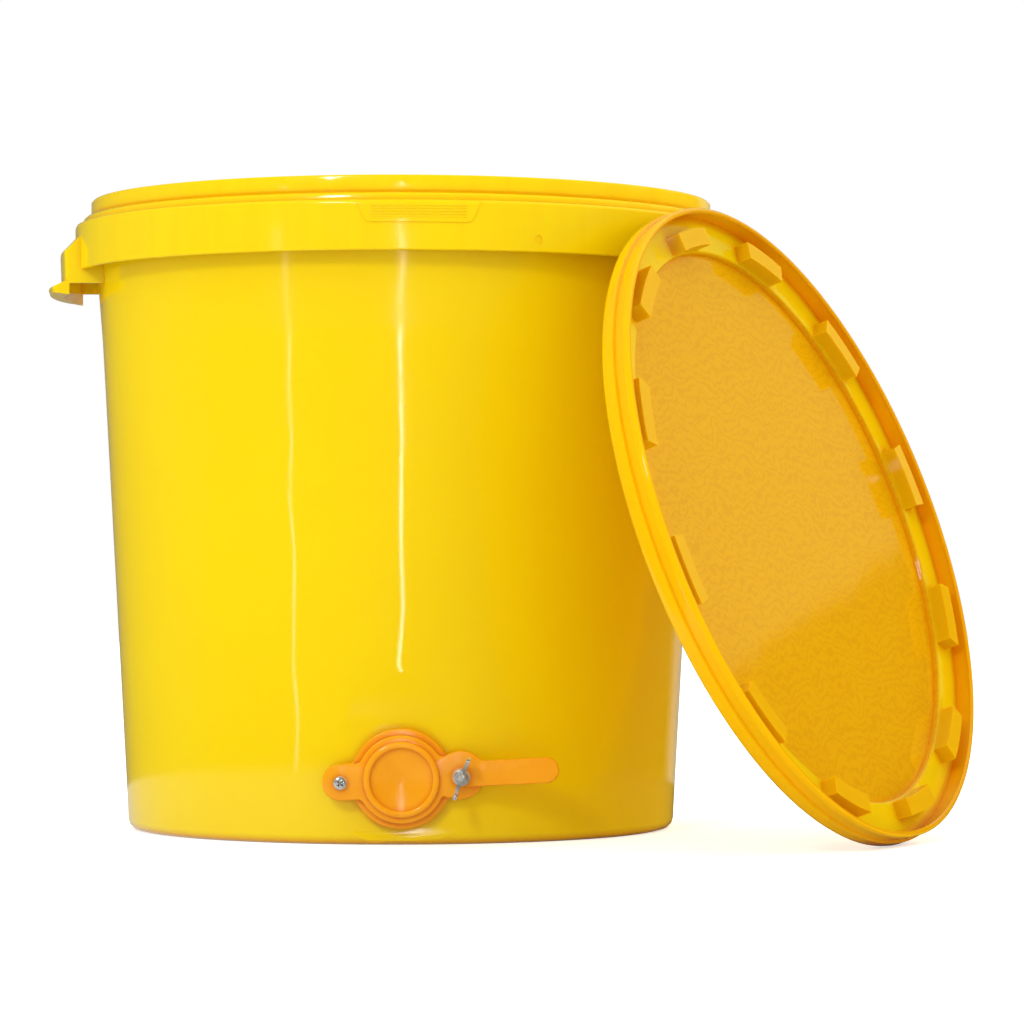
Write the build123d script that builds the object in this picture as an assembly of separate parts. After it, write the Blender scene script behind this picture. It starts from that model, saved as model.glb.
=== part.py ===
from build123d import *
import os
from math import acos, asin, cos, degrees, pi, radians, sin, sqrt, tan

os.makedirs("parts", exist_ok=True)

# All sizes are in millimetres. The origin is on the bucket's axis, at the floor.
# The gate faces -Y and the lid leans against the collar on the +X side.

# How far a cutting shape reaches past the surface that it cuts.
past = 1.0

# Bucket wall: a round pail that widens upwards, and a little faster above a faint crease. It
# stands on a ring and a middle pad.
pail_height = 377.0
base_radius = 164.3
wall_lean = 3.17
upper_lean = 4.5
crease_drop = 85.0
wall = 2.4
floor_thickness = 2.4
base_corner = 6.0
inner_corner = 6.0
foot_height = 1.5
foot_width = 18.3
pad_radius = 44.0

# Neck that the lid snaps over.
neck_swell = 0.35
neck_height = 10.4
neck_groove = 0.9
groove_height = 1.4
rim_round = 1.2
rim_chamfer = 1.2

# Collar: a short shoulder, then a skirt that hangs from a web.
shoulder_step = 4.5
shoulder_round = 1.2
shoulder_height = 4.2
collar_step = 5.0
collar_height = 28.4
collar_wall = 2.4
collar_web = 3.0
collar_bead = 2.2
collar_edge = 0.8
gusset_count = 12
gusset_thickness = 1.8
gusset_setback = 6.0
gusset_rise = 3.0

# Finger grips at both sides of the collar.
grip_width = 100.0
grip_bulge = 9.0
grip_slope = 10.4
grip_top_drop = 7.4
grip_drop = 15.0
grip_wall = 2.7
grip_draft = 1.0
grip_shoulder_round = 3.0
grip_lip = 7.0
grip_lip_height = 4.6
grip_lip_slope = 1.2
grip_lip_rise = 3.4
grip_lip_edge = 0.5
grip_roof = 1.2
grip_clearance = 0.5
grip_web_lift = 6.8
grip_plan_round = 5.0

# Tear tab with fine ribs on the collar's front, and a small moulding dimple.
tab_left = -25.6
tab_right = 45.0
tab_height = 12.4
tab_taper = 5.6
tab_raise = 0.5
tab_setback = 0.4
tab_corner = 4.0
tab_rib_count = 5
tab_rib_width = 1.4
tab_rib_raise = 0.4
tab_rib_foot = 0.1
tab_rib_margin = 3.0
dimple_radius = 2.5
dimple_depth = 0.6
dimple_side = 77.0
dimple_rise = 7.0

# Flat for the gate, pressed into the wall, with a fading run-out above it.
gate_height = 38.0
gate_roll = 2.8
flat_depth = 3.0
flat_margin = 1.5
flat_runout = 29.0

# Gate body, threaded spout, gaskets and back nut.
spout_radius = 21.0
spout_bore = 17.5
spout_length = 16.4
spout_gap = 0.4
flange_radius = 28.5
flange_thickness = 4.5
flange_chamfer = 0.8
gasket_thickness = 2.0
gasket_width = 5.6
back_nut_flats = 52.0
back_nut_thickness = 8.0
back_nut_gap = 0.1
pivot_distance = 34.4
pivot_ear_radius = 10.2
clamp_distance = 33.7
clamp_ear_radius = 13.2
ear_fillet = 4.0
pocket_depth = 2.3
pocket_gap = 0.3

# Flap: plate, ring bead, dish, slotted boss and handle.
flap_gap = 0.1
flap_thickness = 3.5
flap_radius = 25.0
flap_chamfer = 0.7
dish_radius = 17.7
dish_depth = 1.6
ring_width = 3.9
ring_height = 2.4
ring_round = 1.4
boss_radius = 14.5
boss_low = 11.5
boss_fillet = 1.5
slot_clearance = 0.3
handle_end = 89.0
handle_width = 14.5
handle_rise = 1.2
handle_fillet = 6.0
seal_inner = 18.3
seal_width = 2.5
seal_gap = 0.1
seal_height = 2.0

# Metal hardware.
pivot_radius = 2.0
pivot_gap = 0.05
pivot_head_radius = 4.0
pivot_head_height = 3.1
pivot_head_round = 1.6
pivot_nut_flats = 7.0
pivot_nut_thickness = 3.2
cross_width = 1.1
cross_length = 4.2
cross_depth = 1.6
pivot_tail = 0.4
clamp_radius = 2.5
clamp_gap = 0.06
clamp_head_flats = 8.0
clamp_head_thickness = 3.5
clamp_reach = 6.6
clamp_end_edge = 0.6
shank_gap = 0.1
washer_radius = 5.0
washer_thickness = 1.0
hub_radius = 5.5
hub_top_radius = 4.5
hub_height = 5.0
hub_edge = 0.5
wing_span = 13.0
wing_height = 13.0
wing_thickness = 2.0
wing_turn = 67.0

# Lid: plate, annulus, rim ridge and snap skirt.
lid_fit = 0.5
lid_wall = 2.4
lid_rim_wall = 3.3
lid_ridge_height = 5.4
lid_ridge_width = 5.0
lid_ridge_draft = 0.5
lid_corner = 4.2
lid_band_height = 8.5
lid_band_inset = 1.7
lid_band_edge = 0.8
lid_lip_height = 3.9
lid_lip_inset = 0.9
lid_annulus = 21.5
lid_plate_drop = 3.8
lid_edge = 1.0
snap_bead = 0.9
snap_bead_height = 2.2
seat_play = 0.2
block_count = 12
block_gap = 1.5
block_depth = 10.5
block_length = 38.0
block_height = 8.9
block_wall = 2.0
block_start = 10.0

# Leaning lid: its open side faces the front right and a little upwards. Its top meets the
# collar at lean_drop below the collar's top, or the wall where it can't reach so high.
lid_turn = -30.5
lid_side = 2.45
lean_drop = 5.5
lean_gap = 0.4
least_tilt = 15.0

# Rounds of turned profiles are cut in flat steps: one, two above the first size, three above
# the second.
two_steps = 1.3
three_steps = 3.5

# Worked-out sizes of the bucket.
lean = radians(wall_lean)
wall_level = wall / cos(lean)
floor_level = foot_height + floor_thickness
crease_level = pail_height - crease_drop


def wall_radius(z):
    upper = max(0, z - crease_level)
    return base_radius + (z - upper) * tan(lean) + upper * tan(radians(upper_lean))


neck_radius = wall_radius(pail_height) + neck_swell
shoulder_radius = neck_radius + shoulder_step
collar_radius = shoulder_radius + collar_step
skirt_radius = collar_radius - collar_wall
shoulder_top = pail_height - neck_height
collar_top = shoulder_top - shoulder_height
collar_base = collar_top - collar_height
web_base = collar_top - collar_web

# The gate's own plane lies on the pressed flat: X to the right, Y up, Z outwards.
flat_low = gate_height - flange_radius - flat_margin
flat_high = gate_height + flange_radius + 2 * flat_margin
roll = radians(gate_roll)
gate_plane = Plane(
    origin=(0, flat_depth - wall_radius(gate_height), gate_height),
    x_dir=(cos(roll), -sin(roll) * sin(lean), sin(roll) * cos(lean)),
    z_dir=(0, -cos(lean), -sin(lean)),
)
flange_back = gasket_thickness
flange_front = flange_back + flange_thickness
flap_back = flange_front + flap_gap
flap_front = flap_back + flap_thickness
pocket_floor = flange_back + pocket_depth
washer_top = flap_front + shank_gap + washer_thickness


def corner_steps(before, corner, after, size):
    """Points that follow the round of a corner in flat steps."""
    a = (before - corner).normalized()
    b = (after - corner).normalized()
    half = radians(a.get_angle(b)) / 2
    sweep = pi - 2 * half
    centre = corner + (a + b).normalized() * (size / sin(half))
    first = corner + a * (size / tan(half)) - centre
    last = corner + b * (size / tan(half)) - centre
    steps = 1 + (size > two_steps) + (size > three_steps)
    points = []
    for i in range(steps + 1):
        share = i / steps
        turned_arm = first * sin(sweep * (1 - share)) + last * sin(sweep * share)
        points.append(centre + turned_arm * (1 / sin(sweep)))
    return points


def profile_face(points):
    """Face in the XZ plane from corners given as radius, height and corner round."""
    corners = [Vector(r, z) for r, z, c in points]
    outline = []
    for i, (r, z, size) in enumerate(points):
        if size:
            after = corners[(i + 1) % len(corners)]
            outline += corner_steps(corners[i - 1], corners[i], after, size)
        else:
            outline.append(corners[i])
    return make_face(Plane.XZ * Polyline(*outline, close=True))


def turned(points):
    return revolve(profile_face(points), Axis.Z)


def band(inner, outer, low, high):
    """Plain ring between two radii and two heights."""
    return turned([(inner, low, 0), (outer, low, 0), (outer, high, 0), (inner, high, 0)])


def slab(sketch, low, high):
    return extrude(Pos(0, 0, low) * sketch, amount=high - low)


def hexagon(flats):
    return RegularPolygon(flats / 2, 6, major_radius=False, rotation=30)


def on_gate(shape):
    return gate_plane.location * shape


# Bucket.


def flat_cutter(inset):
    """Prism in front of the pressed flat, for the wall's surface that lies inset from the outside."""
    half_width = 2 * flange_radius
    far = 2 * base_radius
    edge = [
        (-past, 0),
        (flat_low, flat_depth),
        (flat_high, flat_depth),
        (flat_high + flat_runout, 0),
    ]
    points = [(inset + depth - wall_radius(z), z) for z, depth in edge]
    points += [(-far, flat_high + flat_runout), (-far, -past)]
    return extrude(make_face(Plane.YZ * Polyline(*points, close=True)), amount=half_width, both=True)


def pail_outside():
    return turned([
        (0, 0, 0),
        (pad_radius, 0, 0),
        (pad_radius + foot_height, foot_height, 0),
        (base_radius - foot_width - foot_height, foot_height, 0),
        (base_radius - foot_width, 0, 0),
        (base_radius, 0, base_corner),
        (wall_radius(crease_level), crease_level, 0),
        (wall_radius(web_base), web_base, 0),
        (skirt_radius, web_base, 0),
        (skirt_radius, collar_base, 0),
        (collar_radius, collar_base, collar_edge),
        (collar_radius, collar_top, collar_bead),
        (shoulder_radius, collar_top, 0),
        (shoulder_radius, shoulder_top, shoulder_round),
        (neck_radius - neck_groove, shoulder_top, 0),
        (neck_radius - neck_groove, shoulder_top + groove_height, 0),
        (neck_radius, shoulder_top + groove_height + neck_groove, 0),
        (neck_radius, pail_height, rim_round),
        (0, pail_height, 0),
    ])


def pail_inside():
    rim_start = pail_height - rim_chamfer
    rim_inner = wall_radius(rim_start) - wall_level
    return turned([
        (0, floor_level, 0),
        (wall_radius(floor_level) - wall_level, floor_level, inner_corner),
        (wall_radius(crease_level) - wall_level, crease_level, 0),
        (rim_inner, rim_start, 0),
        (rim_inner + rim_chamfer + past, pail_height + past, 0),
        (0, pail_height + past, 0),
    ])


def gussets():
    """Thin webs that stiffen the skirt from inside, left out at the two grips."""
    low = collar_base + gusset_setback
    radius_in = wall_radius(low) - wall / 2
    radius_out = skirt_radius + collar_wall / 2
    section = Polyline(
        (radius_in, low),
        (radius_out, low + gusset_rise),
        (radius_out, web_base + collar_web / 2),
        (radius_in, web_base + collar_web / 2),
        close=True,
    )
    one = extrude(make_face(Plane.XZ * section), amount=gusset_thickness / 2, both=True)
    step = 360 / gusset_count
    turns = [i * step for i in range(gusset_count) if i % (gusset_count // 2) != 0]
    return [Rot(0, 0, turn) * one for turn in turns]


grip_radius = collar_radius + grip_bulge
grip_base = collar_base - grip_drop
grip_top = collar_top - grip_top_drop
lip_top = grip_base + grip_lip_height
web_low = grip_base + grip_web_lift
grip_inner = grip_radius - grip_wall


def grip_plan(radius):
    """Upright prism of the grip's outline seen from above, out to a radius."""
    near = base_radius - 2 * grip_bulge
    plan = Circle(radius) & Pos(near + radius / 2, 0) * Rectangle(radius, grip_width)
    outer = plan.vertices().filter_by(lambda corner: corner.X > near + past)
    return slab(fillet(outer, grip_plan_round), grip_base - past, collar_top)


def grip():
    """Box-shaped finger grip, open below, with a lip along its lower edge."""
    root_low = wall_radius(web_low) - wall / 2
    root_high = wall_radius(collar_top) - wall / 2
    roof = collar_top - collar_web / 2
    panel = turned([
        (root_low, web_low, 0),
        (grip_inner, web_low, 0),
        (grip_inner, grip_base, 0),
        (grip_radius - grip_draft, grip_base, 0),
        (grip_radius, grip_top - grip_slope, grip_shoulder_round),
        (collar_radius - grip_draft, grip_top, 0),
        (collar_radius - grip_draft, roof, 0),
        (root_high, roof, 0),
    ])
    lip = turned([
        (grip_inner, grip_base, 0),
        (grip_radius + grip_lip - grip_draft, grip_base + grip_lip_slope, grip_lip_edge),
        (grip_radius + grip_lip, lip_top, grip_lip_edge),
        (grip_radius, lip_top + grip_lip_rise, 0),
        (grip_inner, lip_top + grip_lip_rise, 0),
    ])
    return panel & grip_plan(grip_radius), lip & grip_plan(grip_radius + grip_lip)


def grip_pocket(inner_at):
    """Hollow of the grip between its end webs, from inner_at outwards."""
    low = grip_base - past
    hollow = turned([
        (inner_at(low), low, 0),
        (grip_inner, low, 0),
        (grip_inner, grip_top - grip_slope - grip_roof, 0),
        (skirt_radius, grip_top - 2 * grip_roof, 0),
        (skirt_radius, web_base, 0),
        (inner_at(web_base), web_base, 0),
    ])
    span = grip_width - 2 * grip_wall
    reach = Pos(collar_radius, 0, collar_base) * Box(collar_radius, span, 4 * collar_height)
    return hollow & reach


def tear_tab():
    """Raised strip on the collar's front with fine ribs, cut to a rounded outline."""
    high = collar_top - tab_setback
    low = high - tab_height
    base = collar_radius - 0.9 * collar_wall
    outline = FilletPolyline(
        (tab_left, high),
        (tab_left + tab_taper, low),
        (tab_right - tab_taper, low),
        (tab_right, high),
        radius=[0, tab_corner, tab_corner, 0],
        close=True,
    )
    window = extrude(make_face(Plane.XZ * outline), amount=2 * collar_radius)
    raised = collar_radius + tab_raise
    strip = turned([
        (base, low - past, 0),
        (raised, low - past, 0),
        (raised, high, collar_bead - tab_setback),
        (base, high, 0),
    ]) & window
    rib_left = tab_left + tab_taper + tab_rib_margin
    rib_right = tab_right - tab_taper - tab_rib_margin
    rib_pitch = (tab_height - 2 * tab_rib_margin) / (tab_rib_count - 1)
    rib_middle = (rib_left + rib_right) / 2
    rib_window = Pos(rib_middle, -collar_radius, low) * Box(
        rib_right - rib_left, collar_radius, 4 * tab_height
    )
    pieces = [strip]
    for i in range(tab_rib_count):
        z = low + tab_rib_margin + i * rib_pitch
        rib = turned([
            (base, z - tab_rib_width / 2, 0),
            (raised - tab_rib_foot, z - tab_rib_width / 2, 0),
            (raised + tab_rib_raise, z, 0),
            (raised - tab_rib_foot, z + tab_rib_width / 2, 0),
            (base, z + tab_rib_width / 2, 0),
        ])
        pieces.append(rib & rib_window)
    return pieces


def dimple():
    """Small round moulding mark on the collar."""
    turn = degrees(asin(dimple_side / collar_radius))
    mark = Pos(0, -collar_radius, collar_base + dimple_rise) * Rot(90, 0, 0) * Cylinder(
        dimple_radius, 2 * dimple_depth
    )
    return Rot(0, 0, turn) * mark


def pail_body():
    shell = (pail_outside() - flat_cutter(0)) - (pail_inside() - flat_cutter(wall_level))
    shell = shell + gussets() + tear_tab()
    skirt_cut = grip_pocket(lambda z: wall_radius(z) + grip_clearance)
    block_cut = grip_pocket(lambda z: wall_radius(z) - wall)
    for turn in (0, 180):
        shell -= Rot(0, 0, turn) * skirt_cut
        for piece in grip():
            shell += Rot(0, 0, turn) * (piece - block_cut)
    spout_hole = on_gate(Cylinder(spout_radius + spout_gap, 4 * flange_thickness))
    return shell - spout_hole - dimple()


# Gate.


def round_near(sketch, radius, spots):
    """Round the sketch's corners that lie nearest to the spots."""
    return fillet([sketch.vertices().sort_by_distance(spot)[0] for spot in spots], radius)


def gate_body():
    pivot_bar = Pos(-pivot_distance / 2, 0) * Rectangle(pivot_distance, 2 * pivot_ear_radius)
    outline = Circle(flange_radius) + pivot_bar + Pos(-pivot_distance, 0) * Circle(pivot_ear_radius)
    outline += Pos(clamp_distance, 0) * Circle(clamp_ear_radius)
    ear = pivot_ear_radius
    corners = [(side * flange_radius, up * ear) for side in (-1, 1) for up in (-1, 1)]
    outline = round_near(outline, ear_fillet, corners)
    plate = slab(outline, flange_back, flange_front)
    plate = chamfer(plate.faces().sort_by(Axis.Z)[-1].edges(), flange_chamfer)
    spout_end = flange_back - gasket_thickness - spout_length
    body = plate + slab(Circle(spout_radius), spout_end, flange_front - flange_chamfer)
    body -= slab(Circle(spout_bore), spout_end - past, flange_front + past)
    pivot_at = Pos(-pivot_distance, 0)
    clamp_at = Pos(clamp_distance, 0)
    low = flange_back - past
    high = flange_front + past
    body -= slab(pivot_at * Circle(pivot_radius + pivot_gap), low, high)
    body -= slab(clamp_at * Circle(clamp_radius + clamp_gap), low, high)
    body -= slab(pivot_at * hexagon(pivot_nut_flats + pocket_gap), low, pocket_floor)
    body -= slab(clamp_at * hexagon(clamp_head_flats + pocket_gap), low, pocket_floor)
    return body


def outer_gasket():
    ring = Circle(spout_radius + spout_gap + gasket_width) - Circle(spout_radius + spout_gap)
    return slab(ring, 0, gasket_thickness)


def inner_gasket():
    return Pos(0, 0, -wall - gasket_thickness) * outer_gasket()


def back_nut():
    nut_top = -wall - gasket_thickness
    hexed = slab(hexagon(back_nut_flats), nut_top - back_nut_thickness, nut_top)
    return hexed - slab(Circle(spout_radius + back_nut_gap), nut_top - 2 * back_nut_thickness, past)


def flap_plate():
    """Outline of the flap: disc, pivot ear, slotted boss and handle."""
    handle_round = handle_width / 2
    handle_low = handle_rise - handle_round
    pivot_bar = Pos(-pivot_distance / 2, 0) * Rectangle(pivot_distance, 2 * pivot_ear_radius)
    boss = Pos(clamp_distance, 0) * Circle(boss_radius)
    boss -= Pos(clamp_distance + boss_radius, handle_low - boss_radius) * Rectangle(
        2 * boss_radius, 2 * boss_radius
    )
    boss -= Pos(clamp_distance, -boss_low - boss_radius) * Rectangle(
        3 * boss_radius, 2 * boss_radius
    )
    handle_straight = handle_end - handle_round - clamp_distance
    handle = Pos(clamp_distance + handle_straight / 2, handle_rise) * Rectangle(
        handle_straight, handle_width
    )
    handle += Pos(handle_end - handle_round, handle_rise) * Circle(handle_round)
    outline = Circle(flap_radius) + pivot_bar + Pos(-pivot_distance, 0) * Circle(pivot_ear_radius)
    outline += boss + handle
    upper = (flap_radius, boss_radius / 2)
    lower = (flap_radius * 0.9, -boss_radius / 2)
    ear = pivot_ear_radius
    outline = round_near(outline, ear_fillet, [(-flap_radius, -ear), (-flap_radius, ear), upper])
    outline = round_near(outline, boss_fillet, [lower])
    return round_near(outline, handle_fillet, [(clamp_distance + boss_radius, handle_round)])


def flap_slot():
    """Slot round the pivot, open downwards, that lets the flap swing up off the clamp bolt."""
    half = clamp_radius + slot_clearance
    reach = pivot_distance + clamp_distance
    lane = Circle(reach + half) - Circle(reach - half)
    lane &= Pos(reach, -boss_radius) * Rectangle(4 * boss_radius, 2 * boss_radius)
    return Pos(-pivot_distance, 0) * lane + Pos(clamp_distance, 0) * Circle(half)


def gate_flap():
    plate = slab(flap_plate(), flap_back, flap_front)
    plate = chamfer(plate.faces().sort_by(Axis.Z)[-1].edges(), flap_chamfer)
    plate -= slab(flap_slot(), flap_back - past, flap_front + past)
    dish_sphere = (dish_radius ** 2 + dish_depth ** 2) / (2 * dish_depth)
    plate -= Pos(0, 0, flap_front - dish_depth + dish_sphere) * Sphere(dish_sphere)
    ring_top = flap_front + ring_height
    plate += turned([
        (dish_radius, flap_back + flap_thickness / 2, 0),
        (dish_radius + ring_width, flap_back + flap_thickness / 2, 0),
        (dish_radius + ring_width, ring_top, ring_round),
        (dish_radius, ring_top, ring_round),
    ])
    seal_top = flange_front + seal_height
    seal_outer = seal_inner + seal_width + seal_gap
    plate -= band(seal_inner - seal_gap, seal_outer, flap_back - past, seal_top)
    hole = Pos(-pivot_distance, 0) * Circle(pivot_radius + pivot_gap)
    return plate - slab(hole, flap_back - past, flap_front + past)


def flap_seal():
    return band(seal_inner, seal_inner + seal_width, flange_front, flange_front + seal_height)


# Hardware, each piece on its own axis first.


def pivot_screw():
    head_low = flap_front + shank_gap
    head_high = head_low + pivot_head_height
    tail = pocket_floor - pivot_nut_thickness - pivot_tail
    screw = turned([
        (0, tail, 0),
        (pivot_radius, tail, pivot_tail),
        (pivot_radius, head_low, 0),
        (pivot_head_radius, head_low, 0),
        (pivot_head_radius, head_high, pivot_head_round),
        (0, head_high, 0),
    ])
    for turn in (45, 135):
        arm = Rot(0, 0, turn) * Rectangle(cross_length, cross_width)
        screw -= slab(arm, head_high - cross_depth, head_high + past)
    return Pos(-pivot_distance, 0, 0) * screw


def pivot_nut():
    nut = slab(hexagon(pivot_nut_flats), pocket_floor - pivot_nut_thickness, pocket_floor)
    nut -= slab(Circle(pivot_radius), -pivot_nut_thickness, flange_front)
    return Pos(-pivot_distance, 0, 0) * nut


def clamp_bolt():
    head = slab(hexagon(clamp_head_flats), pocket_floor - clamp_head_thickness, pocket_floor)
    bolt_end = washer_top + clamp_reach
    shank = turned([
        (0, pocket_floor - past, 0),
        (clamp_radius, pocket_floor - past, 0),
        (clamp_radius, bolt_end, clamp_end_edge),
        (0, bolt_end, 0),
    ])
    return Pos(clamp_distance, 0, 0) * (head + shank)


def clamp_washer():
    ring = Circle(washer_radius) - Circle(clamp_radius + clamp_gap)
    return Pos(clamp_distance, 0, 0) * slab(ring, washer_top - washer_thickness, washer_top)


def wing_nut():
    """Conical hub with two rounded wings that rise outwards."""
    hub_top = washer_top + hub_height
    hub = turned([
        (0, washer_top, 0),
        (hub_radius, washer_top, hub_edge),
        (hub_top_radius, hub_top, hub_edge),
        (0, hub_top, 0),
    ])
    tip = washer_top + wing_height
    edge = FilletPolyline(
        (clamp_radius + 0.8, washer_top + 0.8),
        (hub_radius, washer_top + 1.4),
        (wing_span * 0.88, washer_top + wing_height * 0.47),
        (wing_span, tip - 4.6),
        (wing_span * 0.94, tip),
        (wing_span * 0.66, tip),
        (hub_top_radius + 0.2, hub_top - 0.6),
        (clamp_radius + 0.8, hub_top - 0.6),
        radius=[0, 1.2, 2.2, 1.6, 1.5, 2.0, 2.0, 0],
        close=True,
    )
    wing = extrude(make_face(Plane.XZ * edge), amount=wing_thickness / 2, both=True)
    nut = hub + wing + Rot(0, 0, 180) * wing
    nut -= slab(Circle(clamp_radius + clamp_gap), washer_top - past, tip + past)
    return Pos(clamp_distance, 0, 0) * Rot(0, 0, wing_turn) * nut


# Lid, first flat on its back with its open side up, then leaned against the collar.


skirt_inner = neck_radius + lid_fit
lid_radius = skirt_inner + lid_rim_wall
annulus_level = lid_ridge_height + lid_wall
lid_depth = annulus_level + neck_height + seat_play
lid_plate_radius = skirt_inner - lid_annulus
block_inner = lid_plate_radius + block_gap
lid_lip_radius = lid_radius - lid_lip_inset
lid_band_radius = lid_radius - lid_band_inset
lid_lip_low = lid_depth - lid_lip_height


def lid_block(turn):
    """Raised block on the annulus, cored from the back as it is moulded."""
    arc = degrees(block_length / (block_inner + block_depth / 2))
    core_arc = degrees((block_length - 2 * block_wall) / (block_inner + block_depth / 2))
    top = annulus_level + block_height
    outer = block_inner + block_depth
    solid_face = profile_face([
        (block_inner, annulus_level - lid_wall / 2, 0),
        (outer, annulus_level - lid_wall / 2, 0),
        (outer, top, 0),
        (block_inner, top, 0),
    ])
    core_face = profile_face([
        (block_inner + block_wall, lid_ridge_height - past, 0),
        (outer - block_wall, lid_ridge_height - past, 0),
        (outer - block_wall, top - block_wall, 0),
        (block_inner + block_wall, top - block_wall, 0),
    ])
    block = revolve(solid_face, Axis.Z, revolution_arc=arc)
    core = revolve(core_face, Axis.Z, revolution_arc=core_arc)
    return Rot(0, 0, turn - arc / 2) * block, Rot(0, 0, turn - core_arc / 2) * core


def flat_lid():
    plate_back = annulus_level - lid_plate_drop - lid_wall
    ridge_inner = lid_radius - lid_ridge_width
    lid = turned([
        (0, plate_back, 0),
        (lid_plate_radius + lid_wall, plate_back, lid_edge),
        (lid_plate_radius + lid_wall, lid_ridge_height, 0),
        (ridge_inner, lid_ridge_height, 0),
        (ridge_inner + lid_ridge_draft, 0, 0),
        (lid_radius, 0, lid_corner),
        (lid_radius, lid_band_height, 0),
        (lid_band_radius, lid_band_height + lid_band_edge, 0),
        (lid_band_radius, lid_lip_low - lid_band_edge, 0),
        (lid_lip_radius, lid_lip_low, 0),
        (lid_lip_radius, lid_depth, lid_edge),
        (skirt_inner, lid_depth, 0),
        (skirt_inner - snap_bead, lid_depth - snap_bead_height / 2, 0),
        (skirt_inner, lid_depth - snap_bead_height, 0),
        (skirt_inner, annulus_level, 0),
        (lid_plate_radius, annulus_level, lid_edge),
        (lid_plate_radius, annulus_level - lid_plate_drop, 0),
        (0, annulus_level - lid_plate_drop, 0),
    ])
    for i in range(block_count):
        block, core = lid_block(block_start + i * 360 / block_count)
        lid = lid + block - core
    return lid


def lid_plane():
    """Back plane of the leaning lid: its lowest corner on the floor, its top on the bucket."""
    turn = radians(lid_turn)
    side = radians(lid_side)
    ring = lid_radius - lid_corner
    reach = 2 * ring * cos(radians(least_tilt)) + lid_corner
    level = min(collar_top - lean_drop, reach)
    tilt = acos((level - lid_corner) / (2 * ring))
    rise = ring * cos(tilt) + lid_corner * (1 - sin(tilt))
    lean_back = ring * sin(tilt) - lid_corner * cos(tilt)
    met_radius = collar_radius if level > collar_base else wall_radius(level)
    touch = met_radius + lid_corner + lean_gap
    distance = lean_back * cos(side) + sqrt(touch ** 2 - (lean_back * sin(side)) ** 2)
    return Plane(
        origin=(distance * cos(turn - side), distance * sin(turn - side), rise),
        x_dir=(-sin(turn), cos(turn), 0),
        z_dir=(cos(tilt) * cos(turn), cos(tilt) * sin(turn), sin(tilt)),
    )


def lid():
    return lid_plane().location * flat_lid()


parts = {
    "pail_body": pail_body(),
    "lid": lid(),
    "outer_gasket": on_gate(outer_gasket()),
    "gate_body": on_gate(gate_body()),
    "inner_gasket": on_gate(inner_gasket()),
    "back_nut": on_gate(back_nut()),
    "gate_flap": on_gate(gate_flap()),
    "flap_seal": on_gate(flap_seal()),
    "pivot_screw": on_gate(pivot_screw()),
    "pivot_nut": on_gate(pivot_nut()),
    "clamp_bolt": on_gate(clamp_bolt()),
    "clamp_washer": on_gate(clamp_washer()),
    "wing_nut": on_gate(wing_nut()),
}

for name, shape in parts.items():
    export_step(shape, f"parts/{name}.step")
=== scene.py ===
import bpy
import bmesh
from math import cos, radians, sin
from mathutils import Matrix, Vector

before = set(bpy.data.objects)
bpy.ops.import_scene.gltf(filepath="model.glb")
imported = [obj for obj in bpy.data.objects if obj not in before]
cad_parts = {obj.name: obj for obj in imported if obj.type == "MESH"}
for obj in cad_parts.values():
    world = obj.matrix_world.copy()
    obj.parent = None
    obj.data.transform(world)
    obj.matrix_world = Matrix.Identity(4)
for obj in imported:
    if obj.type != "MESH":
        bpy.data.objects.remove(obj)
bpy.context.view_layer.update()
scene = bpy.context.scene
scene.view_settings.view_transform = "Standard"
print("frame loaded:", len(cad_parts), "nodes")


# camera: a long lens, a little below the bucket's middle
shot = {
    "place": (0.0, -2.369, 0.1563),
    "lens": 137.1,
    "sensor": 36,
    "pitch": 90.828,
    "turn": -1.624,
    "near": 0.05,
    "far": 60,
}


def makeCamera():
    camData = bpy.data.cameras.new("photoCamera")
    cam = bpy.data.objects.new("photoCamera", camData)
    scene.collection.objects.link(cam)
    camData.sensor_width = shot["sensor"]
    camData.lens = shot["lens"]
    camData.clip_start = shot["near"]
    camData.clip_end = shot["far"]
    cam.location = shot["place"]
    cam.rotation_euler = (radians(shot["pitch"]), 0, radians(shot["turn"]))
    scene.camera = cam
    print("camera set")


# little helpers for building shader trees
class Tree:
    def __init__(self, tree):
        self.tree = tree
        self.nodes = tree.nodes
        self.nodes.clear()
        self.column = 0

    def add(self, kind, settings=None, **inputs):
        node = self.nodes.new(kind)
        self.column += 1
        node.location = (self.column * 180, 0)  # side by side in the editor
        for name, value in (settings or {}).items():
            setattr(node, name, value)
        for name, value in inputs.items():
            self.feed(node, name.replace("_", " "), value)
        return node

    def feed(self, node, socket, value):
        target = node.inputs[socket]
        if isinstance(value, bpy.types.NodeSocket):
            self.tree.links.new(value, target)
        else:
            target.default_value = value

    def math(self, operation, a, b=None, c=None):
        node = self.add("ShaderNodeMath", {"operation": operation})
        for i, value in enumerate((a, b, c)):
            if value is not None:
                self.feed(node, i, value)
        return node.outputs[0]

    def mix(self, amount, a, b):
        node = self.add("ShaderNodeMix", {"data_type": "RGBA", "clamp_factor": False})
        self.feed(node, 0, amount)
        self.feed(node, 6, a)  # sockets 6 and 7 are the two colours
        self.feed(node, 7, b)
        return node.outputs[2]

    def remap(self, value, fromLow, fromHigh, toLow, toHigh, smooth=False):
        node = self.add("ShaderNodeMapRange")
        node.interpolation_type = "SMOOTHSTEP" if smooth else "LINEAR"
        for i, item in enumerate((value, fromLow, fromHigh, toLow, toHigh)):
            self.feed(node, i, item)
        return node.outputs[0]

    def split(self, vector):
        node = self.add("ShaderNodeSeparateXYZ")
        self.feed(node, 0, vector)
        return node.outputs

    def blend(self, amount, a, b):
        node = self.add("ShaderNodeMixShader")
        self.feed(node, 0, amount)
        self.feed(node, 1, a)
        self.feed(node, 2, b)
        return node.outputs[0]


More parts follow.
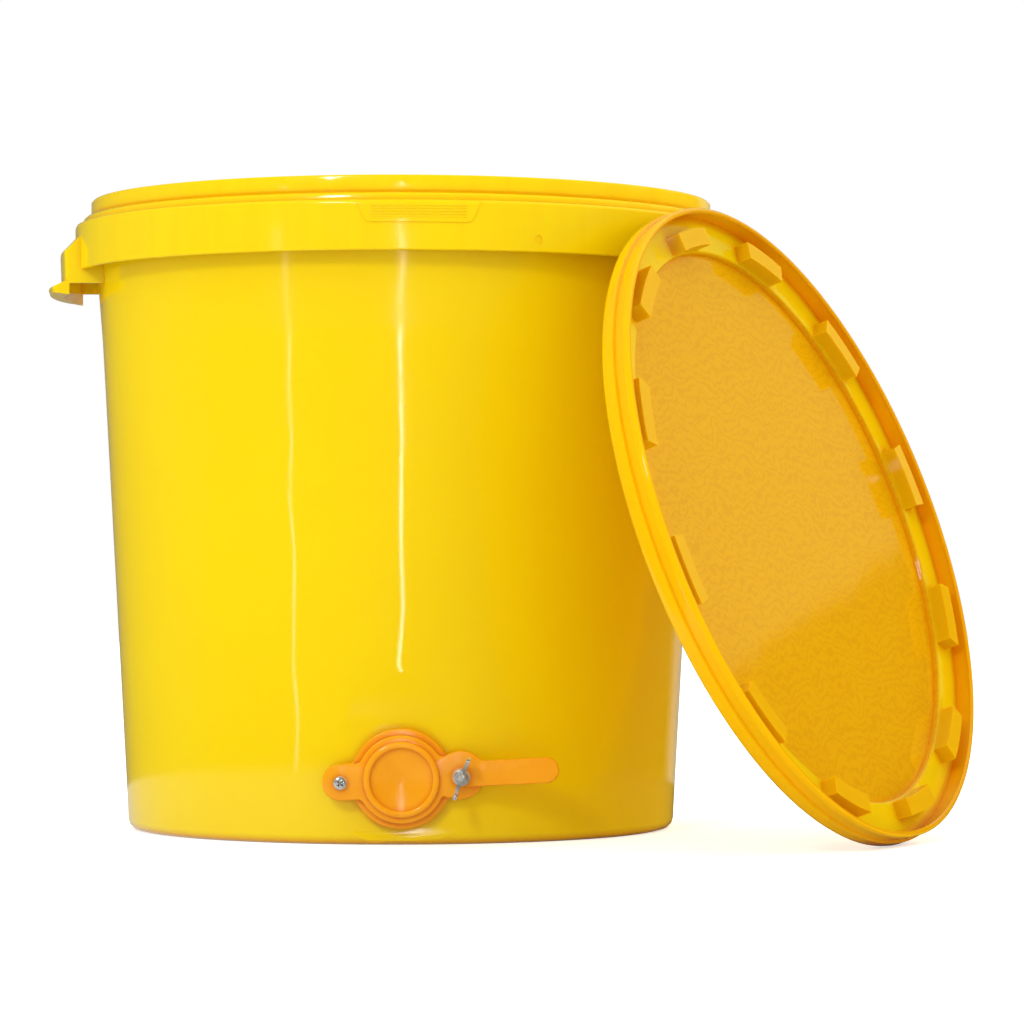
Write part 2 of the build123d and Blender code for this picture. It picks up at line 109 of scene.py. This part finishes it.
# shared groups: flow in a colour, fine ripple of a skin, and painted shade in its corners
def makeGroup(name, inputs, outputs):
    group = bpy.data.node_groups.new(name, "ShaderNodeTree")
    tree = Tree(group)
    for label, kind, value in inputs:
        socket = group.interface.new_socket(name=label, in_out="INPUT", socket_type=kind)
        socket.default_value = value
    for label, kind in outputs:
        group.interface.new_socket(name=label, in_out="OUTPUT", socket_type=kind)
    return group, tree


# how the shared groups draw: the noise of each, and the part of it that shows
skinNoise = {
    "flowDetail": 3.0, "flowRough": 0.5, "flowBend": 0.6, "flowFrom": 0.35, "flowTo": 0.65,
    "waveDetail": 2.0, "waveRough": 0.45, "grainDetail": 3.0, "grainRough": 0.6,
    "scuffSize": 45.0, "scuffDetail": 6.0, "scuffRough": 0.7, "scuffFrom": 0.45, "scuffTo": 0.75,
    "cornerSamples": 3, "cornerEnd": 0.95,
}


# slow drifts from one colour to a deeper one, as where a melt ran
def makeFlowGroup():
    group, tree = makeGroup(
        "mouldFlow",
        [("Colour", "NodeSocketColor", (1, 1, 1, 1)), ("Deep", "NodeSocketColor", (1, 1, 1, 1)),
         ("Size", "NodeSocketFloat", 8.0), ("Amount", "NodeSocketFloat", 0.3)],
        [("Colour", "NodeSocketColor")],
    )
    given = tree.add("NodeGroupInput")
    place = tree.add("ShaderNodeTexCoord")
    slow = tree.add("ShaderNodeTexNoise", {}, Vector=place.outputs["Object"], Scale=given.outputs["Size"],
                    Detail=skinNoise["flowDetail"], Roughness=skinNoise["flowRough"],
                    Distortion=skinNoise["flowBend"])
    mask = tree.remap(slow.outputs["Fac"], skinNoise["flowFrom"], skinNoise["flowTo"], 0.0, 1.0, smooth=True)
    amount = tree.math("MULTIPLY", mask, given.outputs["Amount"])
    colour = tree.mix(amount, given.outputs["Colour"], given.outputs["Deep"])
    done = tree.add("NodeGroupOutput")
    tree.feed(done, 0, colour)
    return group


# long waves and fine grain as a height, and a patchy mask of scuffs
def makeRippleGroup():
    group, tree = makeGroup(
        "mouldRipple",
        [("Wave Size", "NodeSocketFloat", 20.0), ("Wave Height", "NodeSocketFloat", 0.5),
         ("Grain Size", "NodeSocketFloat", 900.0), ("Grain Height", "NodeSocketFloat", 0.1)],
        [("Height", "NodeSocketFloat"), ("Scuff", "NodeSocketFloat")],
    )
    given = tree.add("NodeGroupInput")
    place = tree.add("ShaderNodeTexCoord")
    wave = tree.add("ShaderNodeTexNoise", {}, Vector=place.outputs["Object"],
                    Scale=given.outputs["Wave Size"], Detail=skinNoise["waveDetail"],
                    Roughness=skinNoise["waveRough"])
    grain = tree.add("ShaderNodeTexNoise", {}, Vector=place.outputs["Object"],
                     Scale=given.outputs["Grain Size"], Detail=skinNoise["grainDetail"],
                     Roughness=skinNoise["grainRough"])
    high = tree.math("MULTIPLY", wave.outputs["Fac"], given.outputs["Wave Height"])
    fine = tree.math("MULTIPLY", grain.outputs["Fac"], given.outputs["Grain Height"])
    patch = tree.add("ShaderNodeTexNoise", {}, Vector=place.outputs["Object"],
                     Scale=skinNoise["scuffSize"], Detail=skinNoise["scuffDetail"],
                     Roughness=skinNoise["scuffRough"])
    scuff = tree.remap(patch.outputs["Fac"], skinNoise["scuffFrom"], skinNoise["scuffTo"], 0.0, 1.0,
                       smooth=True)
    done = tree.add("NodeGroupOutput")
    tree.feed(done, 0, tree.math("ADD", high, fine))
    tree.feed(done, 1, scuff)
    return group


# a mask for painted shade: one in the open, nought in seams and corners, read from ambient occlusion
def makePaintedShadeGroup():
    group, tree = makeGroup(
        "paintedCornerShade",
        [("Reach", "NodeSocketFloat", 0.006), ("Start", "NodeSocketFloat", 0.35)],
        [("Mask", "NodeSocketFloat")],
    )
    given = tree.add("NodeGroupInput")
    shade = tree.add("ShaderNodeAmbientOcclusion", {"samples": skinNoise["cornerSamples"]},
                     Distance=given.outputs["Reach"])
    mask = tree.remap(shade.outputs["AO"], given.outputs["Start"], skinNoise["cornerEnd"], 0.0, 1.0)
    done = tree.add("NodeGroupOutput")
    tree.feed(done, 0, mask)
    return group


flowGroup = makeFlowGroup()
rippleGroup = makeRippleGroup()
paintedShadeGroup = makePaintedShadeGroup()
print("shader groups made")


# a new material with the flowing colour and the ripple of its look
def startMaterial(name, look):
    mat = bpy.data.materials.new(name)
    mat.use_nodes = True
    tree = Tree(mat.node_tree)
    flow = tree.add("ShaderNodeGroup", {"node_tree": flowGroup}, Colour=look["colour"], Deep=look["deep"],
                    Size=look["flowSize"], Amount=look["flow"])
    ripple = tree.add("ShaderNodeGroup", {"node_tree": rippleGroup}, Wave_Size=look["waveSize"],
                      Wave_Height=look["wave"], Grain_Size=look["grainSize"], Grain_Height=look["grain"])
    return mat, tree, flow.outputs["Colour"], ripple.outputs


# painted shade: a deeper colour in seams and corners
def paintCornerShade(tree, look, colour):
    corner = tree.add("ShaderNodeGroup", {"node_tree": paintedShadeGroup}, Reach=look["cornerReach"],
                      Start=look["cornerStart"])
    return tree.mix(corner.outputs["Mask"], look["corner"], colour)


# the bumped skin that every material ends with
def finishMaterial(tree, look, colour, height, rough):
    bump = tree.add("ShaderNodeBump", {}, Height=height, Strength=look["bump"], Distance=look["bumpDeep"])
    skin = tree.add("ShaderNodeBsdfPrincipled", {}, Base_Color=colour, Roughness=rough,
                    Normal=bump.outputs["Normal"])
    done = tree.add("ShaderNodeOutputMaterial")
    tree.feed(done, "Surface", skin.outputs["BSDF"])
    return skin


# what the three moulded plastics share
plasticSkin = {
    "ior": 1.47,
    "hazeRough": 0.28,  # a soft second gloss over the clear one
    "bleed": (1.0, 0.6, 0.1),  # how far red, green and blue spread inside
    "bleedDeep": 0.006,
    "changeEdge": 0.002,
}


# moulded polyethylene: a colour that flows, slight depth, a rippled skin, fine scuffs and painted shade in
# its corners
def plasticMaterial(name, look, zones=None):
    mat, tree, colour, ripple = startMaterial(name, look)
    place = tree.add("ShaderNodeTexCoord")
    up = tree.split(place.outputs["Object"])["Z"]
    edge = plasticSkin["changeEdge"]
    clear = tree.remap(up, look["change"] - edge, look["change"] + edge, look["rough"], look["roughAbove"])
    rough = tree.math("MULTIPLY_ADD", ripple["Scuff"], look["scuff"], clear)
    height = ripple["Height"]
    if zones:
        colour, height = zones(tree, place.outputs["Object"], colour, height)
    colour = paintCornerShade(tree, look, colour)
    skin = finishMaterial(tree, look, colour, height, rough)
    skin.inputs["IOR"].default_value = plasticSkin["ior"]
    skin.inputs["Coat Weight"].default_value = look["haze"]
    skin.inputs["Coat Roughness"].default_value = plasticSkin["hazeRough"]
    skin.inputs["Subsurface Weight"].default_value = look["depth"]
    skin.inputs["Subsurface Radius"].default_value = plasticSkin["bleed"]
    skin.inputs["Subsurface Scale"].default_value = plasticSkin["bleedDeep"]
    return mat


# bucket: clear gloss on the wall, a duller one above the crease
bucketLook = {
    "colour": (0.90, 0.64, 0.001, 1), "deep": (0.88, 0.60, 0.001, 1), "flowSize": 7.0, "flow": 0.4,
    "waveSize": 14.0, "wave": 0.5, "grainSize": 700.0, "grain": 0.01, "bump": 0.2, "bumpDeep": 0.001,
    "rough": 0.07, "roughAbove": 0.12, "change": 0.292, "scuff": 0.05, "haze": 0.15, "depth": 0.12,
    # corner: painted shade in seams and corners, and also the tint of the collar's drawn lines
    "corner": (0.90, 0.46, 0.001, 1), "cornerReach": 0.0045, "cornerStart": 0.4,
    "collar": 0.332, "collarEdge": 0.002, "lineSize": 130.0, "lineStretch": 0.04, "lineDetail": 2.0,
    "lineFrom": 0.4, "lineTo": 0.65, "lines": 0.11,
}


# faint upright lines on the bucket's collar, where the mould is drawn off
def bucketZones(tree, place, colour, height):
    drawn = tree.add("ShaderNodeMapping", {}, Vector=place, Scale=(1.0, 1.0, bucketLook["lineStretch"]))
    lines = tree.add("ShaderNodeTexNoise", {}, Vector=drawn.outputs[0], Scale=bucketLook["lineSize"],
                     Detail=bucketLook["lineDetail"])
    up = tree.split(place)["Z"]
    foot = bucketLook["collar"]
    onCollar = tree.remap(up, foot - bucketLook["collarEdge"], foot, 0.0, 1.0)
    amount = tree.remap(lines.outputs["Fac"], bucketLook["lineFrom"], bucketLook["lineTo"], 0.0,
                        bucketLook["lines"])
    colour = tree.mix(tree.math("MULTIPLY", amount, onCollar), colour, bucketLook["corner"])
    high = tree.math("MULTIPLY", lines.outputs["Fac"], onCollar)
    high = tree.math("MULTIPLY", high, bucketLook["lines"])
    return colour, tree.math("ADD", height, high)


# lid: deeper colours on its inner side, painted shade where less light reaches into the lid; radii are from
# its axis and heights from its back
lidLook = {
    "colour": (0.90, 0.50, 0.001, 1), "deep": (0.88, 0.46, 0.001, 1), "flowSize": 9.0, "flow": 0.4,
    "waveSize": 18.0, "wave": 0.35, "grainSize": 700.0, "grain": 0.003, "bump": 0.3, "bumpDeep": 0.001,
    "rough": 0.04, "roughAbove": 0.04, "change": 0.5, "scuff": 0.01, "haze": 0.05, "depth": 0.4,
    # corner: painted shade in seams and corners
    "corner": (0.82, 0.3, 0.001, 1), "cornerReach": 0.006, "cornerStart": 0.2,
    "centre": (0.218283, -0.141484, 0.179146), "tilt": 19.52, "turn": -30.5,
    "plate": (0.69, 0.36, 0.001, 1), "plateDeep": (0.64, 0.32, 0.001, 1), "plateRadius": 0.1665,
    "plateEdge": 0.0015, "lineSize": 52.0, "lineBend": 26.0, "lineDetail": 4.0, "lineDetailSize": 0.65,
    "lineDetailRough": 0.66, "lineTo": 0.6, "lineHeight": 0.008,
    "ledge": (0.76, 0.51, 0.001, 1), "block": (0.74, 0.40, 0.002, 1), "blockFoot": 0.0084,
    "blockEdge": 0.001, "skirt": (0.70, 0.34, 0.001, 1), "skirtRadius": 0.1872, "skirtEdge": 0.004,
    "rimRadius": 0.1895, "rimEdge": 0.0006, "back": 0.003, "backEdge": 0.0005,
}


# the lid's zones: a thin plate with flow lines, a ledge with blocks, a skirt and a rim, each zone inside the
# rim painted with its own shade
def lidZones(tree, place, colour, height):
    turn = radians(lidLook["turn"])
    tilt = radians(lidLook["tilt"])
    axis = Vector((cos(tilt) * cos(turn), cos(tilt) * sin(turn), sin(tilt)))
    local = tree.add("ShaderNodeMapping", {"vector_type": "TEXTURE"}, Vector=place,
                     Location=lidLook["centre"], Rotation=axis.to_track_quat("Z", "Y").to_euler())
    flat = tree.add("ShaderNodeVectorMath", {"operation": "MULTIPLY"})
    tree.feed(flat, 0, local.outputs[0])
    tree.feed(flat, 1, (1, 1, 0))
    out = tree.add("ShaderNodeVectorMath", {"operation": "LENGTH"})
    tree.feed(out, 0, flat.outputs[0])
    radius = out.outputs["Value"]
    rise = tree.split(local.outputs[0])["Z"]

    # fine wavy lines where the melt ran across the plate: a ripple in its height and, in its colour, a
    # painted reflection of that ripple
    lines = tree.add("ShaderNodeTexWave", {"bands_direction": "Y"}, Vector=local.outputs[0],
                     Scale=lidLook["lineSize"], Distortion=lidLook["lineBend"],
                     Detail=lidLook["lineDetail"], Detail_Scale=lidLook["lineDetailSize"],
                     Detail_Roughness=lidLook["lineDetailRough"])
    plate = tree.mix(tree.remap(lines.outputs["Fac"], 0.0, lidLook["lineTo"], 0.0, 1.0),
                     lidLook["plateDeep"], lidLook["plate"])

    # each mask is one in its own zone
    plateEnd = lidLook["plateRadius"]
    skirtStart = lidLook["skirtRadius"]
    rimStart = lidLook["rimRadius"]
    foot = lidLook["blockFoot"]
    back = lidLook["back"]
    onPlate = tree.remap(radius, plateEnd, plateEnd + lidLook["plateEdge"], 1.0, 0.0)
    onSkirt = tree.remap(radius, skirtStart - lidLook["skirtEdge"], skirtStart, 0.0, 1.0)
    onRim = tree.remap(radius, rimStart - lidLook["rimEdge"], rimStart, 0.0, 1.0)
    onBlock = tree.remap(rise, foot, foot + lidLook["blockEdge"], 0.0, 1.0)
    inside = tree.remap(rise, back, back + lidLook["backEdge"], 0.0, 1.0)

    # painted shade: the inner side's colours, all deeper than the lid's own colour
    inner = tree.mix(onBlock, lidLook["ledge"], lidLook["block"])
    inner = tree.mix(onSkirt, inner, lidLook["skirt"])
    inner = tree.mix(onPlate, inner, plate)
    inner = tree.mix(onRim, inner, colour)
    line = tree.math("MULTIPLY", lines.outputs["Fac"], onPlate)
    line = tree.math("MULTIPLY", line, lidLook["lineHeight"])
    return tree.mix(inside, colour, inner), tree.math("ADD", height, line)


# gate: an orange moulding with tighter grain, and a deeper orange painted shade in its seams and corners
gateLook = {
    "colour": (0.94, 0.38, 0.006, 1), "deep": (0.88, 0.32, 0.003, 1), "flowSize": 40.0, "flow": 0.5,
    "waveSize": 160.0, "wave": 0.25, "grainSize": 2500.0, "grain": 0.03, "bump": 0.3, "bumpDeep": 0.001,
    "rough": 0.11, "roughAbove": 0.11, "change": 0.5, "scuff": 0.08, "haze": 0.1, "depth": 0.12,
    "corner": (0.82, 0.16, 0.002, 1), "cornerReach": 0.003, "cornerStart": 0.3,
}


# gaskets and flap seal: dull pale rubber
rubberLook = {
    "colour": (0.62, 0.58, 0.5, 1), "deep": (0.5, 0.46, 0.38, 1), "flowSize": 60.0, "flow": 0.6,
    "waveSize": 300.0, "wave": 0.2, "grainSize": 3000.0, "grain": 0.2, "bump": 0.4, "bumpDeep": 0.0005,
    "rough": 0.55, "scuffed": 0.75,
}


def rubberMaterial():
    mat, tree, colour, ripple = startMaterial("gasketRubber", rubberLook)
    rough = tree.remap(ripple["Scuff"], 0.0, 1.0, rubberLook["rough"], rubberLook["scuffed"])
    finishMaterial(tree, rubberLook, colour, ripple["Height"], rough)
    return mat


# screw, bolt, nuts and washer: bright steel, with painted shade, near black, in its recesses
steelLook = {
    "colour": (0.9, 0.9, 0.88, 1), "deep": (0.82, 0.82, 0.8, 1), "flowSize": 250.0, "flow": 0.6,
    "waveSize": 500.0, "wave": 0.3, "grainSize": 5000.0, "grain": 0.15, "bump": 0.35, "bumpDeep": 0.0004,
    "rough": 0.18, "scuffed": 0.3, "metal": 0.8,
    "corner": (0.1, 0.09, 0.08, 1), "cornerReach": 0.0016, "cornerStart": 0.3,
}


def steelMaterial():
    mat, tree, colour, ripple = startMaterial("brightSteel", steelLook)
    rough = tree.remap(ripple["Scuff"], 0.0, 1.0, steelLook["rough"], steelLook["scuffed"])
    colour = paintCornerShade(tree, steelLook, colour)
    skin = finishMaterial(tree, steelLook, colour, ripple["Height"], rough)
    skin.inputs["Metallic"].default_value = steelLook["metal"]
    return mat


# what each CAD node wears
finishOf = {
    "pail_body": "bucket", "lid": "lid", "gate_body": "gate", "gate_flap": "gate", "back_nut": "gate",
    "outer_gasket": "rubber", "inner_gasket": "rubber", "flap_seal": "rubber", "pivot_screw": "steel",
    "pivot_nut": "steel", "clamp_bolt": "steel", "clamp_washer": "steel", "wing_nut": "steel",
}


def dressNodes():
    finishes = {
        "bucket": plasticMaterial("bucketPlastic", bucketLook, bucketZones),
        "lid": plasticMaterial("lidPlastic", lidLook, lidZones),
        "gate": plasticMaterial("gatePlastic", gateLook),
        "rubber": rubberMaterial(),
        "steel": steelMaterial(),
    }
    for name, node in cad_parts.items():
        node.data.materials.clear()
        node.data.materials.append(finishes[finishOf[name]])
        smoothNode(node)
    print("nodes dressed:", len(finishes), "materials")


# smooth shading with crisp edges
shading = {
    "joined": 0.00001,
    "crispFrom": 50,
    "evenness": 80,
}


def smoothNode(node):
    weld = node.modifiers.new("join corners", "WELD")
    weld.merge_threshold = shading["joined"]
    crisp = node.modifiers.new("crisp edges", "EDGE_SPLIT")
    crisp.split_angle = radians(shading["crispFrom"])
    even = node.modifiers.new("even shading", "WEIGHTED_NORMAL")
    even.weight = shading["evenness"]


# stage: a plain pale floor and a white surrounding
stage = {
    "floorSize": 12.0,
    "floorColour": (0.80, 0.80, 0.79, 1),
    "fibreColour": (0.7, 0.7, 0.7, 1),
    "fibreSize": 300.0,
    "fibreDetail": 3.0,
    "fibreFrom": 0.3,
    "fibreTo": 0.7,
    "fibreTone": 0.985,
    "paperRough": 0.9,
    "floorGlow": 0.55,  # only the camera sees it, so the shadows stay
    "sheetEdge": 0.42,  # where the paper ends in the plastic's reflections
    "sheetFade": 0.04,
    # sheetLeft and sheetRight: the painted glow of the mirrored sheet on the left and on the right
    "sheetLeft": 0.6,
    "sheetRight": 0.05,
    "sheetTurn": 0.15,
    "fillLeft": (0.86, 0.88, 0.88, 1),
    "fillRight": (1.08, 1.04, 0.85, 1),
    "fillAcross": 0.9,
    "fillFront": 0.9,
    "fillBack": 0.95,
    "fillAlong": 0.8,
    "fillSide": 0.62,
    "fillSideEnd": 0.9,
    "glossLeft": 0.1,
    "glossRight": 0.42,
    "glossAcross": 0.7,
    "glossBehind": (-0.5, 0.3),
    "glossFront": 0.01,
    "glossTint": (0.9, 0.95, 0.45, 1),
    "glossHorizon": 0.252,  # below it nothing is mirrored from the right
    "horizonEdge": 0.001,
    "horizonFrom": 0.45,
    "horizonTo": 0.65,
}
white = (1, 1, 1, 1)
black = (0, 0, 0, 1)


def makeFloor():
    mesh = bpy.data.meshes.new("floor")
    build = bmesh.new()
    bmesh.ops.create_grid(build, x_segments=1, y_segments=1, size=stage["floorSize"] / 2)
    build.to_mesh(mesh)
    build.free()
    floor = bpy.data.objects.new("floor", mesh)
    scene.collection.objects.link(floor)

    mat = bpy.data.materials.new("floorPaper")
    mat.use_nodes = True
    tree = Tree(mat.node_tree)
    place = tree.add("ShaderNodeTexCoord").outputs["Object"]
    fibre = tree.add("ShaderNodeTexNoise", {}, Vector=place, Scale=stage["fibreSize"],
                     Detail=stage["fibreDetail"])
    tone = tree.remap(fibre.outputs["Fac"], stage["fibreFrom"], stage["fibreTo"], stage["fibreTone"], 1.0)
    paper = tree.mix(tone, stage["fibreColour"], stage["floorColour"])
    skin = tree.add("ShaderNodeBsdfPrincipled", {}, Base_Color=paper, Roughness=stage["paperRough"])
    glow = tree.add("ShaderNodeEmission", {}, Color=white, Strength=stage["floorGlow"])
    lit = tree.add("ShaderNodeAddShader")
    tree.feed(lit, 0, skin.outputs[0])
    tree.feed(lit, 1, glow.outputs[0])
    path = tree.add("ShaderNodeLightPath").outputs
    seen = tree.math("MAXIMUM", path["Is Camera Ray"], path["Is Transmission Ray"])
    plain = tree.blend(seen, skin.outputs[0], lit.outputs[0])

    # in the plastic's reflections the paper is a glowing sheet that ends a little way from the bucket, a
    # painted reflection of the floor: bright on the left, dim on the right where the floor lies in shade
    far = tree.add("ShaderNodeVectorMath", {"operation": "LENGTH"})
    tree.feed(far, 0, place)
    edge = stage["sheetEdge"]
    near = tree.remap(far.outputs["Value"], edge, edge + stage["sheetFade"], 1.0, 0.0)
    across = tree.split(place)["X"]
    side = tree.remap(across, -stage["sheetTurn"], stage["sheetTurn"], stage["sheetLeft"],
                      stage["sheetRight"], smooth=True)
    sheet = tree.add("ShaderNodeEmission", {}, Color=white, Strength=side)
    beyond = tree.add("ShaderNodeBsdfTransparent")
    mirrored = tree.blend(near, beyond.outputs[0], sheet.outputs[0])
    done = tree.add("ShaderNodeOutputMaterial")
    tree.feed(done, "Surface", tree.blend(path["Is Glossy Ray"], plain, mirrored))
    floor.data.materials.append(mat)
    print("floor laid")


# white to the camera, a graded fill on the object, and a dim room in its gloss
def makeSurround():
    world = bpy.data.worlds.new("surround")
    scene.world = world
    world.use_nodes = True
    tree = Tree(world.node_tree)
    path = tree.add("ShaderNodeLightPath").outputs
    seen = tree.math("MAXIMUM", path["Is Camera Ray"], path["Is Transmission Ray"])
    way = tree.split(tree.add("ShaderNodeTexCoord").outputs["Generated"])

    # what the gloss mirrors: a room, lighter behind and to the right, and dark low down on the right
    side = tree.remap(way["X"], -stage["glossAcross"], stage["glossAcross"], stage["glossLeft"],
                      stage["glossRight"], smooth=True)
    behind = tree.remap(way["Y"], stage["glossBehind"][0], stage["glossBehind"][1], 0.0, 1.0, smooth=True)
    right = tree.remap(way["X"], stage["horizonFrom"], stage["horizonTo"], 0.0, 1.0, smooth=True)
    level = stage["glossHorizon"]
    low = tree.remap(way["Z"], level - stage["horizonEdge"], level + stage["horizonEdge"], 1.0, 0.0)
    above = tree.math("SUBTRACT", 1.0, tree.math("MULTIPLY", low, right))
    gloss = tree.math("MULTIPLY", tree.math("MULTIPLY", side, behind), above)
    gloss = tree.math("MAXIMUM", gloss, stage["glossFront"])
    mirrored = tree.mix(gloss, black, tree.mix(right, white, stage["glossTint"]))

    # what lights the object: cooler from the left, warmer from the right, strongest from the sides
    across = tree.remap(way["X"], -stage["fillAcross"], stage["fillAcross"], 0.0, 1.0)
    fill = tree.mix(across, stage["fillLeft"], stage["fillRight"])
    along = tree.remap(way["Y"], -stage["fillAlong"], stage["fillAlong"], stage["fillFront"],
                       stage["fillBack"])
    aside = tree.remap(tree.math("ABSOLUTE", way["Y"]), 0.0, stage["fillSideEnd"], stage["fillSide"], 0.0)
    fill = tree.mix(tree.math("ADD", along, aside), black, fill)

    colour = tree.mix(path["Is Glossy Ray"], fill, mirrored)
    colour = tree.mix(seen, colour, white)
    back = tree.add("ShaderNodeBackground", {}, Color=colour, Strength=1.0)
    done = tree.add("ShaderNodeOutputWorld")
    tree.feed(done, "Surface", back.outputs[0])
    print("surrounding made")


# soft rectangle lamps, aimed at the bucket's middle; from is the turn off the camera's side and the rise
lampAim = (0, 0, 0.18)
lamps = {
    "key": {"from": (-24, 28), "far": 3.2, "size": (0.4, 0.4), "power": 21, "tint": (0.94, 1.0, 1.0),
            "mirrored": True},
    "backRight": {"from": (132, 8), "far": 2.2, "size": (1.2, 1.2), "power": 28, "tint": (1.0, 0.92, 0.5),
                  "mirrored": False},
    "frontStrip": {"from": (0, -2.5), "far": 3.4, "size": (0.045, 1.14), "power": 3.2, "tint": (1, 1, 1),
                   "mirrored": True},
    "leftStrip": {"from": (-42, -2.5), "far": 3.4, "size": (0.035, 1.14), "power": 1.0, "tint": (1, 1, 1),
                  "mirrored": True},
}


def makeLamp(name, spec):
    turn, rise = (radians(angle) for angle in spec["from"])
    away = Vector((sin(turn) * cos(rise), -cos(turn) * cos(rise), sin(rise)))
    lampData = bpy.data.lights.new(name, "AREA")
    lampData.shape = "RECTANGLE"
    lampData.size, lampData.size_y = spec["size"]
    lampData.energy = spec["power"]
    lampData.color = spec["tint"]
    lamp = bpy.data.objects.new(name, lampData)
    scene.collection.objects.link(lamp)
    lamp.visible_glossy = spec["mirrored"]
    lamp.location = Vector(lampAim) + away * spec["far"]
    lamp.rotation_euler = away.to_track_quat("Z", "Y").to_euler()


makeCamera()
dressNodes()
makeFloor()
makeSurround()
for lampName, lampSpec in lamps.items():
    makeLamp(lampName, lampSpec)
print("lamps lit:", len(lamps))
